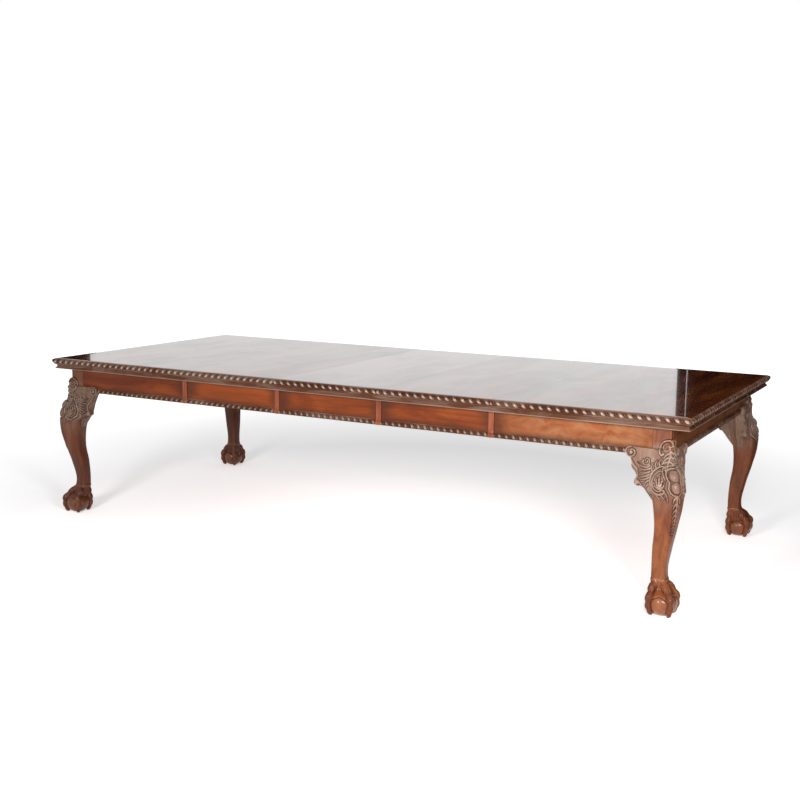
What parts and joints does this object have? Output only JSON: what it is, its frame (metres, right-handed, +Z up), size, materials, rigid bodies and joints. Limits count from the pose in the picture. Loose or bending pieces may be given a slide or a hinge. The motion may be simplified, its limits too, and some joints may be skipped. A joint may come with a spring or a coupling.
{
  "type": "extending dining table",
  "caption": "Extending mahogany dining table with drop-in leaves, gadrooned edges and frieze, cabriole legs on claw-and-ball feet, and a winding screw that draws the ends apart.",
  "frame": {"origin": "on the floor under the middle of the table", "axes": "+X along the table away from the crank hole, +Y to the back, +Z up"},
  "size_m": [3.142, 1.3864, 0.762],
  "materials": {
    "polished_top": "french polished, mirror gloss",
    "frieze": "french polished",
    "carved_mahogany": "polished, worn carving",
    "hardwood": "planed, waxed",
    "screw_steel": "greased",
    "cast_iron": "blacked",
    "brass": "polished"
  },
  "bodies": {
    "left_end": {"left_top_board": "polished_top", "left_end_pegs": "hardwood", "left_edge_moulding": "carved_mahogany", "leg_front_left": "carved_mahogany", "leg_back_left": "carved_mahogany", "left_front_apron": "frieze", "left_back_apron": "frieze", "left_end_apron": "frieze", "knee_brackets_front_left": "carved_mahogany", "knee_brackets_back_left": "carved_mahogany", "left_corner_blocks": "hardwood", "left_apron_bead": "carved_mahogany", "left_end_joint_strips": "carved_mahogany", "left_slide_front": "hardwood", "left_slide_back": "hardwood", "left_cross_rail": "hardwood", "screw_nut_rail": "hardwood", "screw_nut": "cast_iron", "crank_bearing": "cast_iron", "crank_hole_ring": "brass"},
    "right_end": {"right_top_board": "polished_top", "right_edge_moulding": "carved_mahogany", "leg_front_right": "carved_mahogany", "leg_back_right": "carved_mahogany", "right_front_apron": "frieze", "right_back_apron": "frieze", "right_end_apron": "frieze", "knee_brackets_front_right": "carved_mahogany", "knee_brackets_back_right": "carved_mahogany", "right_corner_blocks": "hardwood", "right_apron_bead": "carved_mahogany", "right_slide_front": "hardwood", "right_slide_back": "hardwood", "right_cross_rail": "hardwood", "inner_screw": "screw_steel"},
    "middle_slides": {"middle_slide_front": "hardwood", "middle_slide_back": "hardwood", "middle_slide_tie": "hardwood"},
    "crank_shaft": {"crank_shaft": "screw_steel"},
    "hollow_screw": {"hollow_screw": "screw_steel"},
    "leaf_1": {"leaf_1_board": "polished_top", "leaf_1_edge_mouldings": "carved_mahogany", "leaf_1_aprons": "frieze", "leaf_1_apron_bead": "carved_mahogany", "leaf_1_joint_strips": "carved_mahogany", "leaf_1_pegs": "hardwood"},
    "leaf_2": {"leaf_2_board": "polished_top", "leaf_2_edge_mouldings": "carved_mahogany", "leaf_2_aprons": "frieze", "leaf_2_apron_bead": "carved_mahogany", "leaf_2_joint_strips": "carved_mahogany", "leaf_2_pegs": "hardwood"},
    "leaf_3": {"leaf_3_board": "polished_top", "leaf_3_edge_mouldings": "carved_mahogany", "leaf_3_aprons": "frieze", "leaf_3_apron_bead": "carved_mahogany", "leaf_3_joint_strips": "carved_mahogany", "leaf_3_pegs": "hardwood"}
  },
  "joints": [
    {"name": "wind_out", "type": "slide", "parent": "left_end", "child": "right_end", "axis": [1, 0, 0], "range_m": [0, 0.12]},
    {"name": "leaf_1_slide", "type": "slide", "parent": "left_end", "child": "leaf_1", "axis": [1, 0, 0], "range_m": [0, 0.03]},
    {"name": "leaf_2_slide", "type": "slide", "parent": "left_end", "child": "leaf_2", "axis": [1, 0, 0], "range_m": [0, 0.06]},
    {"name": "leaf_3_slide", "type": "slide", "parent": "left_end", "child": "leaf_3", "axis": [1, 0, 0], "range_m": [0, 0.09]},
    {"name": "middle_slide", "type": "slide", "parent": "left_end", "child": "middle_slides", "axis": [1, 0, 0], "range_m": [0, 0.06]},
    {"name": "crank_turn", "type": "hinge", "parent": "left_end", "child": "crank_shaft", "pos_m": [-1.44, 0, 0.6967], "axis": [1, 0, 0], "range_deg": [0, 1701]},
    {"name": "screw_turn", "type": "hinge", "parent": "middle_slides", "child": "hollow_screw", "pos_m": [0, 0, 0.6967], "axis": [1, 0, 0], "range_deg": [0, 1701]}
  ],
  "couplings": [
    {"joint": "leaf_1_slide", "follows": "wind_out", "ratio": 0.25},
    {"joint": "leaf_2_slide", "follows": "wind_out", "ratio": 0.5},
    {"joint": "leaf_3_slide", "follows": "wind_out", "ratio": 0.75},
    {"joint": "middle_slide", "follows": "wind_out", "ratio": 0.5},
    {"joint": "crank_turn", "follows": "wind_out", "rad_per_m": 247.37},
    {"joint": "screw_turn", "follows": "wind_out", "rad_per_m": 247.37}
  ]
}
